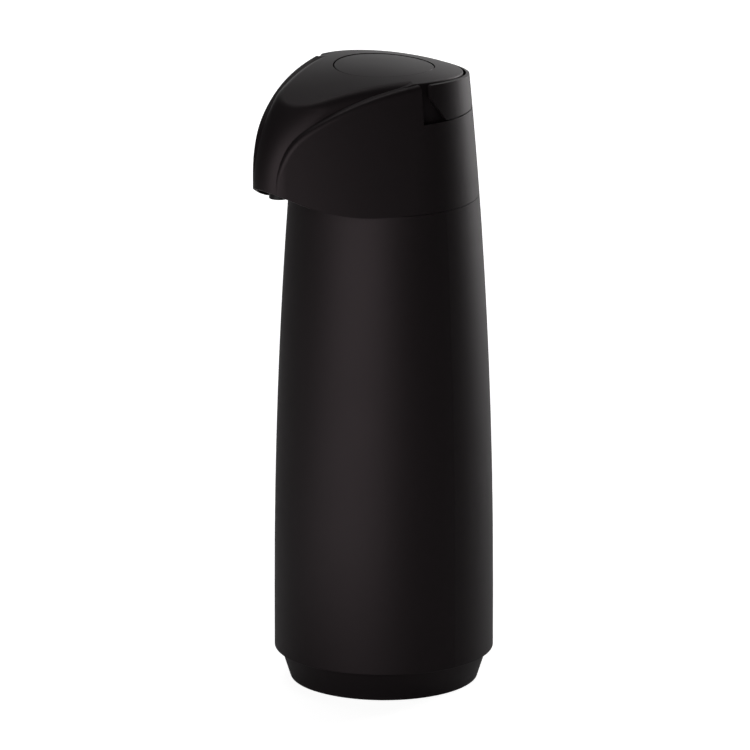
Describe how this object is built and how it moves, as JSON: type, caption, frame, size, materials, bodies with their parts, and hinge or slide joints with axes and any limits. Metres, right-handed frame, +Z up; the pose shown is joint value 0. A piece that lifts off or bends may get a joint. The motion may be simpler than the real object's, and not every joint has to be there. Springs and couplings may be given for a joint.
{
  "type": "airpot",
  "caption": "Pump-action vacuum flask with a tapered dark casing, beaked pump head, press button, glass liner and a carrying handle folded flush round the back.",
  "frame": {"origin": "on the casing's axis, in the plane the foot stands on", "axes": "+Z up along the casing's axis, -Y towards the beak, +X completes the right-handed frame along the handle's pivots"},
  "size_m": [0.132, 0.1627, 0.381],
  "materials": {
    "casing_plastic": "injection-moulded polypropylene, fine satin",
    "head_plastic": "injection-moulded polypropylene, fine satin",
    "beak_plastic": "injection-moulded polypropylene, polished tool",
    "cap_plastic": "grey food-grade polypropylene, as moulded",
    "riser_plastic": "natural food-grade polypropylene tube",
    "silicone": "translucent silicone",
    "rubber": "black rubber, moulded",
    "silvered_glass": "blown glass silvered inside the vacuum",
    "spring_steel": "drawn stainless wire",
    "ball_steel": "polished stainless ball"
  },
  "bodies": {
    "flask": {"outer_casing": "casing_plastic", "base_cup": "casing_plastic", "base_cushion": "rubber", "glass_liner": "silvered_glass", "liner_seal": "silicone"},
    "gasket": {"lid_gasket": "silicone"},
    "pump_head": {"head_shell": "head_plastic", "beak_floor": "beak_plastic", "screw_cap": "cap_plastic", "head_screws": "spring_steel", "bellows_seat": "cap_plastic", "bellows": "rubber", "return_spring": "spring_steel", "air_tube": "silicone", "valve_body": "riser_plastic", "ball_guard": "riser_plastic", "dip_tube": "riser_plastic", "delivery_tube": "riser_plastic", "spout_nozzle": "beak_plastic"},
    "button": {"push_button": "head_plastic", "bellows_cap": "cap_plastic", "intake_flap": "silicone"},
    "handle": {"carry_handle": "head_plastic"},
    "ball": {"check_ball": "ball_steel"}
  },
  "joints": [
    {"name": "head_lift", "type": "slide", "parent": "flask", "child": "gasket", "axis": [0, 0, 1], "range_m": [0, 0.0061]},
    {"name": "head_turn", "type": "hinge", "parent": "gasket", "child": "pump_head", "pos_m": [0, 0, 0.31], "axis": [0, 0, 1], "range_deg": [0, 540]},
    {"name": "button_press", "type": "slide", "parent": "pump_head", "child": "button", "axis": [0, 0, -1], "range_m": [0, 0.018], "stiffness_N_per_m": 600, "springref_m": -0.006, "deforming": ["bellows", "return_spring"]},
    {"name": "handle_swing", "type": "hinge", "parent": "pump_head", "child": "handle", "pos_m": [0, 0.001, 0.368], "axis": [1, 0, 0], "range_deg": [0, 90]},
    {"name": "ball_lift", "type": "slide", "parent": "pump_head", "child": "ball", "axis": [0, 0, 1], "range_m": [0, 0.003]}
  ],
  "couplings": [
    {"joint": "head_lift", "follows": "head_turn", "m_per_rad": 0.00063662}
  ]
}
